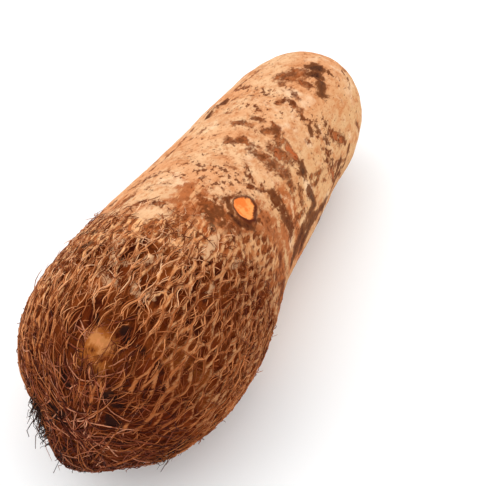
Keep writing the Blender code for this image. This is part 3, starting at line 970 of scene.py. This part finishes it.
def makeEdgeHairs():
    # short dark hairs matted together, hanging close along the outline
    draw = random.Random(8)
    strands = []
    steps = np.linspace(0, 1, edgeHairs["points"])
    shareSpread, degreeSpread = edgeHairs["rootSpread"]
    for share, degrees, count, length, droop in edgeHairs["tufts"]:
        middle = oneSpot(share, degrees)[1]
        lean = gaussVector(draw, 0.5, 0.5, 0.4)
        lean -= middle * (lean @ middle)
        lean = lean / np.linalg.norm(lean) - np.array([0.0, 0.0, droop])
        lean /= np.linalg.norm(lean)
        for _ in range(count * edgeHairs["density"]):
            where = max(0.003, share + draw.gauss(0, shareSpread)), degrees + draw.gauss(0, degreeSpread)
            root, normal = oneSpot(*where, -edgeHairs["rootDepth"])
            stray = gaussVector(draw, *[edgeHairs["spread"]] * 3)
            heading = normal * draw.uniform(0.10, 0.40) / (1.0 + 0.3 * droop) + lean + stray
            heading /= np.linalg.norm(heading)
            reach = 0.0012 + length * draw.uniform(0.2, 0.8) ** 1.3
            crinkle = np.array([gaussVector(draw, 0.05, 0.05, 0.05) for _ in steps])
            bend = normal * draw.gauss(-0.1, 0.25) + gaussVector(draw, 0.2, 0.2, 0.2)
            points = root + reach * (np.outer(steps, heading) + np.outer(steps**2, bend) * 0.5 + crinkle)
            radii = draw.uniform(*edgeHairs["radius"]) * (1.0 - 0.6 * steps)
            points[:, 2] = np.maximum(points[:, 2], radii + fibreLimits["floorGap"])
            strands.append((points, radii, draw.random()))
    return makeFibres("edgeHairs", strands)


# Shader maths: a socket that can be added, multiplied and so on
class Wire:
    def __init__(self, paint, socket):
        self.paint, self.socket = paint, socket

    def math(self, operation, first, second):
        return self.paint.add("Math", {"operation": operation}, {0: first, 1: second})

    def __add__(self, other):
        return self.math("ADD", self, other)

    def __radd__(self, other):
        return self.math("ADD", other, self)

    def __sub__(self, other):
        return self.math("SUBTRACT", self, other)

    def __rsub__(self, other):
        return self.math("SUBTRACT", other, self)

    def __mul__(self, other):
        return self.math("MULTIPLY", self, other)

    def __rmul__(self, other):
        return self.math("MULTIPLY", other, self)

    def step(self, low, high):
        # 0 below low, 1 above high, smooth between
        settings = {"interpolation_type": "SMOOTHSTEP"}
        return self.paint.add("MapRange", settings, {"Value": self, "From Min": low, "From Max": high})


class Paint:
    def __init__(self, name):
        self.material = bpy.data.materials.new(name)
        self.material.use_nodes = True
        self.tree = self.material.node_tree
        self.surface = self.tree.nodes["Principled BSDF"]

    def plug(self, socket, value):
        if isinstance(value, Wire):
            self.tree.links.new(value.socket, socket)
        else:
            socket.default_value = value

    def add(self, kind, settings, sockets, out=0):
        node = self.tree.nodes.new("ShaderNode" + kind)
        for name, value in settings.items():
            if name == "stops":
                ramp = node.color_ramp
                while len(ramp.elements) < len(value):
                    ramp.elements.new(0.5)
                for element, (position, color) in zip(ramp.elements, value):
                    element.position, element.color = position, color
            else:
                setattr(node, name, value)
        for key, value in sockets.items():
            self.plug(node.inputs[key], value)
        return Wire(self, node.outputs[out])

    def value(self, name):
        return self.add("Attribute", {"attribute_name": name}, {}, "Fac")

    def vector(self, name):
        return self.add("Attribute", {"attribute_name": name}, {}, "Vector")

    def here(self):
        return self.add("TexCoord", {}, {}, "Object")

    def scaled(self, vector, scale):
        return self.add("Mapping", {}, {"Vector": vector, "Scale": scale})

    def noise(self, vector, scale, detail=3.0, rough=0.55, warp=0.0):
        sockets = {"Vector": vector, "Scale": scale, "Detail": detail, "Roughness": rough, "Distortion": warp}
        return self.add("TexNoise", {}, sockets, "Fac")

    def mix(self, factor, first, second, blend="MIX"):
        settings = {"data_type": "RGBA", "blend_type": blend, "clamp_factor": True}
        return self.add("Mix", settings, {0: factor, 6: first, 7: second}, 2)

    def ramp(self, value, *stops):
        return self.add("ValToRGB", {"stops": stops}, {"Fac": value}, "Color")

    def bump(self, height, distance, strength=1.0):
        return self.add("Bump", {}, {"Height": height, "Distance": distance, "Strength": strength})

    def finish(self, **sockets):
        for key, value in sockets.items():
            self.plug(self.surface.inputs[key.replace("_", " ")], value)
        return self.material


def tone(*screen):
    # a screen colour, 0 to 255, as linear light
    light = [((c / 255 + 0.055) / 1.055) ** 2.4 if c > 10 else c / 255 / 12.92 for c in screen]
    return (*light, 1.0)


skinTones = {
    "pale": tone(240, 204, 166),
    "cream": tone(226, 180, 136),
    "peach": tone(217, 154, 107),
    # painted shade: a darker cream for the -Y side that the key light doesn't reach
    "shadedSideCream": tone(208, 162, 114),
    "tan": tone(192, 122, 74),
    "patch": tone(152, 78, 34),
    "patchDark": tone(98, 44, 15),
    "darkBrown": tone(108, 58, 28),
    "darkest": tone(50, 22, 15),
    # painted shade: near-black for the hollows between the net's fibres
    "hollowShadeBlack": tone(30, 16, 13),
    "rust": tone(176, 98, 52),
    "redBrown": tone(170, 80, 34),
    "middle": tone(178, 100, 52),
    "window": tone(112, 46, 12),
    "windowDeep": tone(54, 14, 3),
    "windowWarm": tone(146, 72, 26),
    "windowGold": tone(150, 84, 34),
    "buttSkin": tone(84, 28, 8),
    "bar": tone(204, 128, 74),
    "barPale": tone(240, 182, 128),
    "gold": tone(176, 113, 63),
    "flesh": tone(234, 122, 54),
    "fleshPale": tone(248, 156, 86),
    "scarRim": tone(70, 18, 8),
}


def skinPatterns(p):
    # the marks, zones and noises that several parts of the skin's colour read
    zones = ("share", "side", "dull", "coarse", "fine", "coarseBar", "fineBar", "scar", "scarBelow")
    w = SimpleNamespace(**{name: p.value(name) for name in (*marks, *zones)})
    w.here, w.grain = p.here(), p.vector("grain")
    w.across = p.scaled(w.grain, (0.8, 1.0, 1.0))
    w.lengthwise = p.scaled(w.grain, (0.22, 1.0, 1.0))
    w.ragged = p.noise(w.across, 260.0, 6.0, 0.68, 0.4) - 0.5
    w.fleck = p.noise(w.across, 700.0, 3.0, 0.6) - 0.5
    w.mottle = p.noise(w.across, 420.0, 4.0, 0.65)
    w.threads = p.noise(w.lengthwise, 900.0, 3.0, 0.6)
    w.crumbs = w.ragged * 2.3 + w.fleck * 0.9
    w.stained = w.stain + w.crumbs
    w.patched = w.stained.step(0.22, 0.76)
    w.darkened = (w.dark + w.crumbs * 0.9).step(0.30, 0.76)
    w.fineThread = (w.fineBar + w.threads - 0.5 + w.ragged * 0.5).step(0.20, 0.55)
    return w


def bareColor(p, w):
    # cream and peach, with painted shade of a darker green-grey cream on the -Y side away from the key light,
    # clouded and flecked with tan
    t = skinTones
    color = p.mix(p.noise(w.here, 60.0, 4.0).step(0.38, 0.62), t["cream"], t["peach"])
    # painted shade: darker green-grey cream laid on towards the -Y side
    color = p.mix(w.side.step(0.35, 0.95) * 0.8, color, t["shadedSideCream"])
    color = p.mix(p.noise(w.across, 110.0, 5.0, 0.62, 0.5).step(0.50, 0.66) * 0.55, color, t["tan"])
    color = p.mix(w.mottle.step(0.50, 0.72) * 0.6, color, t["tan"])
    color = p.mix(p.noise(w.across, 210.0, 6.0, 0.72, 0.3).step(0.50, 0.62) * 0.6, color, t["tan"])
    color = p.mix(p.noise(w.across, 330.0, 6.0, 0.72, 0.3).step(0.55, 0.66) * 0.6, color, t["patch"])
    color = p.mix(p.noise(w.across, 640.0, 2.0, 0.5).step(0.62, 0.72) * 0.5, color, t["patch"])
    color = p.mix(p.noise(w.here, 85.0, 3.0, 0.6).step(0.55, 0.72) * 0.6, color, t["pale"])
    rings = p.noise(p.scaled(w.grain, (1.0, 0.16, 0.16)), 260.0, 4.0, 0.6)
    return p.mix(rings.step(0.52, 0.75) * 0.4, color, t["tan"])


def withRust(p, w, color):
    # rusty, mottled places between the bare skin and the net, with pale streaks
    t = skinTones
    rust = p.mix(w.mottle.step(0.36, 0.62), t["patch"], t["rust"])
    rust = p.mix(p.noise(w.lengthwise, 420.0, 4.0, 0.6).step(0.54, 0.68) * 0.6, rust, t["barPale"])
    return p.mix((w.rust + w.crumbs * 0.9).step(0.25, 0.75) * 0.9, color, rust)


def patchColor(p, w):
    # brown, darker at the rim and redder in places
    t = skinTones
    patch = p.mix(p.noise(w.across, 300.0, 5.0, 0.65).step(0.40, 0.60), t["patch"], t["patchDark"])
    patch = p.mix((w.red + w.crumbs * 0.6).step(0.3, 0.8), patch, t["redBrown"])
    rim = w.stained.step(0.36, 0.5) - w.stained.step(0.58, 0.9)
    return p.mix(rim * 0.6, patch, t["patchDark"])


def withMarks(p, w, color, patch):
    # ragged patches and dark spots with crumbs round them, and freckles where they are marked
    t = skinTones
    color = p.mix(w.patched * (0.92 - w.mottle.step(0.48, 0.68) * 0.35), color, patch)
    deep = (w.dark + w.ragged * 1.2 + w.fleck).step(0.75, 1.55)
    color = p.mix(w.darkened * 0.95, color, p.mix(deep, t["darkBrown"], t["darkest"]))
    allowed = w.freckle * 0.50 + w.stain * 0.15
    freckle = (p.noise(w.across, 560.0, 2.0, 0.5, 0.3) + allowed * 0.36 + w.ragged * 0.3).step(0.65, 0.75)
    return p.mix(freckle * 0.85, color, t["patchDark"])


def fineNetColor(p, w, patch):
    # pale threads round small brown windows
    t = skinTones
    window = p.mix(w.mottle.step(0.40, 0.62), t["patchDark"], t["middle"])
    window = p.mix(w.red.step(0.2, 0.8) * 0.6, window, t["redBrown"])
    color = p.mix(w.fineThread, window, p.mix(w.mottle.step(0.4, 0.7), t["barPale"], t["bar"]))
    color = p.mix(w.patched * 0.6, color, patch)
    return p.mix(w.darkened * 0.7, color, t["darkest"])


def coarseNetColor(p, w):
    # dark windows between pale bars, with the golden eye, and black painted shade in the hollows where the
    # dark marks lie
    t = skinTones
    window = p.mix(p.noise(w.lengthwise, 330.0, 4.0, 0.6).step(0.38, 0.64), t["windowDeep"], t["window"])
    window = p.mix(p.noise(w.here, 120.0, 4.0).step(0.42, 0.62) * 0.7, window, t["windowWarm"])
    buttWindow = p.mix(w.mottle.step(0.4, 0.65), t["windowDeep"], t["buttSkin"])
    window = p.mix(w.share.step(0.12, 0.02) * 0.7, window, buttWindow)
    golden = w.gold + w.crumbs * 0.75
    window = p.mix(golden.step(0.30, 0.75) * 0.9, window, t["windowGold"])
    window = p.mix(golden.step(0.75, 1.15), window, p.mix(w.mottle.step(0.46, 0.70), t["gold"], t["tan"]))
    bar = p.mix(w.threads.step(0.35, 0.7), t["bar"], t["barPale"])
    bar = p.mix(w.share.step(0.15, 0.02) * 0.8, bar, t["windowWarm"])
    bars = (w.coarseBar + (w.threads - 0.5) * 0.8 + w.ragged * 0.3).step(0.30, 0.62)
    color = p.mix(bars * 0.9, window, bar)
    color = p.mix(w.threads.step(0.62, 0.74) * 0.35, color, t["bar"])
    # painted shade: black where the dark marks lie in the coarse net, standing for hollows among the fibres
    color = p.mix((w.dark + w.crumbs * 0.5).step(0.45, 0.95) * 0.9, color, t["hollowShadeBlack"])
    return p.mix((w.red + w.crumbs * 0.5).step(0.55, 0.95) * 0.65, color, t["redBrown"])


def withScar(p, w, color):
    # the flesh where a bud broke off, with a dark rim
    t = skinTones
    flesh = p.mix(p.noise(w.here, 300.0, 2.0).step(0.4, 0.6), t["flesh"], t["fleshPale"])
    rimReach = w.scar - w.scarBelow * 0.20 + w.crumbs * 0.30
    color = p.mix((1.0 - rimReach.step(0.92, 1.20)) * 0.9, color, t["scarRim"])
    return p.mix(1.0 - (w.scar + w.crumbs * 0.22).step(0.82, 0.98), color, flesh)


def skinMaterial():
    t = skinTones
    p = Paint("skin")
    w = skinPatterns(p)
    patch = patchColor(p, w)
    color = withMarks(p, w, withRust(p, w, bareColor(p, w)), patch)
    fineReach = (w.fine * 1.2 + w.crumbs * 0.8).step(0.40, 0.85) * 0.95
    color = p.mix(fineReach, color, fineNetColor(p, w, patch))
    coarseReach = (w.coarse * 1.1 + w.ragged * 0.76 + w.fleck * 0.44).step(0.45, 0.62)
    color = p.mix(coarseReach, color, coarseNetColor(p, w))
    creamy = (w.cream + w.crumbs * 0.7 - w.stain * 0.8).step(0.30, 0.65)
    color = p.mix(creamy * 0.8, color, p.mix(w.mottle.step(0.48, 0.7), t["cream"], t["tan"]))
    # painted shade: the skin is mixed halfway to butt-skin brown low down and on the butt's -Y side
    color = withScar(p, w, p.mix(w.dull * 0.5, color, t["buttSkin"]))
    height = w.coarseBar * w.coarse * 0.3 + w.fineThread * w.fine * 0.3 + w.threads * 0.5
    height = height + w.mottle * 0.25 - w.patched * 0.12 + w.fleck * 0.2
    normal = p.bump(height, 0.0008, 0.9)
    roughness = 0.62 + w.mottle * 0.25
    return p.finish(Base_Color=color, Roughness=roughness, Normal=normal, Specular_IOR_Level=0.03)


fibreTones = {  # places from 0 to 1, each with its screen colour
    "net": ((0.0, (106, 46, 14)), (0.3, (166, 92, 46)), (0.65, (222, 148, 94)), (1.0, (250, 200, 154))),
    "fine": ((0.0, (90, 34, 10)), (0.35, (148, 76, 34)), (0.65, (208, 134, 84)), (1.0, (244, 190, 146))),
    "tangle": ((0.0, (48, 12, 3)), (0.45, (86, 30, 11)), (0.75, (144, 72, 42)), (1.0, (214, 146, 110))),
    "edge": ((0.0, (22, 14, 12)), (0.6, (44, 24, 16)), (0.85, (84, 42, 22)), (1.0, (130, 74, 38))),
}


def fibreMaterial(name, tones, roughness):
    p = Paint(name)
    here = p.here()
    stops = [(place, tone(*screen)) for place, screen in tones]
    spots = p.noise(here, 500.0, 2.0)
    color = p.mix(spots.step(0.35, 0.75) * 0.45, p.ramp(p.value("tone"), *stops), stops[0][1])
    normal = p.bump(p.noise(here, 2500.0, 2.0), 0.0002, 0.5)
    rough = roughness + spots * 0.2
    return p.finish(Base_Color=color, Roughness=rough, Normal=normal, Specular_IOR_Level=0.1)


def dress(obj, material, replacing=None):
    obj.data.materials.append(material)
    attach(obj, "root")
    if replacing:
        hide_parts(replacing)


studio = {
    "floorSize": 6.0,
    "floorTone": (0.915, 0.93, 0.935, 1.0),
    "floorPaler": (0.935, 0.95, 0.955, 1.0),
    "worldStrength": 1.24,
    "keyPlace": (-0.7, 1.4, 1.9),
    "keySize": 2.8,
    "keyPower": 12.0,
    "fillPlace": (-1.5, -0.6, 0.9),
    "fillSize": 1.2,
    "fillPower": 2.0,
}


def makeFloor():
    bm = bmesh.new()
    bmesh.ops.create_grid(bm, x_segments=1, y_segments=1, size=studio["floorSize"])
    bmesh.ops.translate(bm, verts=bm.verts[:], vec=(0.0, 0.0, -0.0001))
    floor = newObject(bm, "floor")
    p = Paint("paleFloor")
    color = p.mix(p.noise(p.here(), 3.0, 2.0), studio["floorTone"], studio["floorPaler"])
    floor.data.materials.append(p.finish(Base_Color=color, Roughness=0.9))


def makeLight(name, place, size, power):
    light = bpy.data.lights.new(name, "AREA")
    light.shape = "DISK"
    light.size, light.energy = size, power
    lamp = bpy.data.objects.new(name, light)
    lamp.location = place
    lamp.rotation_mode = "QUATERNION"
    lamp.rotation_quaternion = (Vector(form["middle"]) - Vector(place)).to_track_quat("-Z", "Y")
    bpy.context.scene.collection.objects.link(lamp)


def makeStudio():
    scene = bpy.context.scene
    world = bpy.data.worlds.new("studio")
    world.use_nodes = True
    world.node_tree.nodes["Background"].inputs["Color"].default_value = (1.0, 1.0, 1.0, 1.0)
    world.node_tree.nodes["Background"].inputs["Strength"].default_value = studio["worldStrength"]
    scene.world = world
    makeLight("key", studio["keyPlace"], studio["keySize"], studio["keyPower"])
    makeLight("fill", studio["fillPlace"], studio["fillSize"], studio["fillPower"])
    scene.view_settings.view_transform = "Standard"
    scene.view_settings.look = "None"


def makeCamera():
    camera = bpy.data.cameras.new("camera")
    camera.lens, camera.sensor_width = cameraFacts["lens"], cameraFacts["sensor"]
    camera.sensor_fit = "HORIZONTAL"
    camera.clip_start, camera.clip_end = 0.01, 50.0
    obj = bpy.data.objects.new("camera", camera)
    obj.location = cameraFacts["place"]
    obj.rotation_mode = "QUATERNION"
    obj.rotation_quaternion = cameraTurn()
    bpy.context.scene.collection.objects.link(obj)
    bpy.context.scene.camera = obj


makeCamera()
makeStudio()
makeFloor()
print("camera, lights and floor are set")
dress(makeSkin(), skinMaterial(), "malanga")
dress(makeRuns("netFibres", netFibres), fibreMaterial("netFibre", fibreTones["net"], 0.55))
dress(makeRuns("fineFibres", fineFibres), fibreMaterial("fineFibre", fibreTones["net"], 0.55))
dress(makeFineHairs(), fibreMaterial("fineHair", fibreTones["fine"], 0.5))
dress(makeButtTangle(), fibreMaterial("tangledRoot", fibreTones["tangle"], 0.5))
dress(makeEdgeHairs(), fibreMaterial("edgeHair", fibreTones["edge"], 0.6))
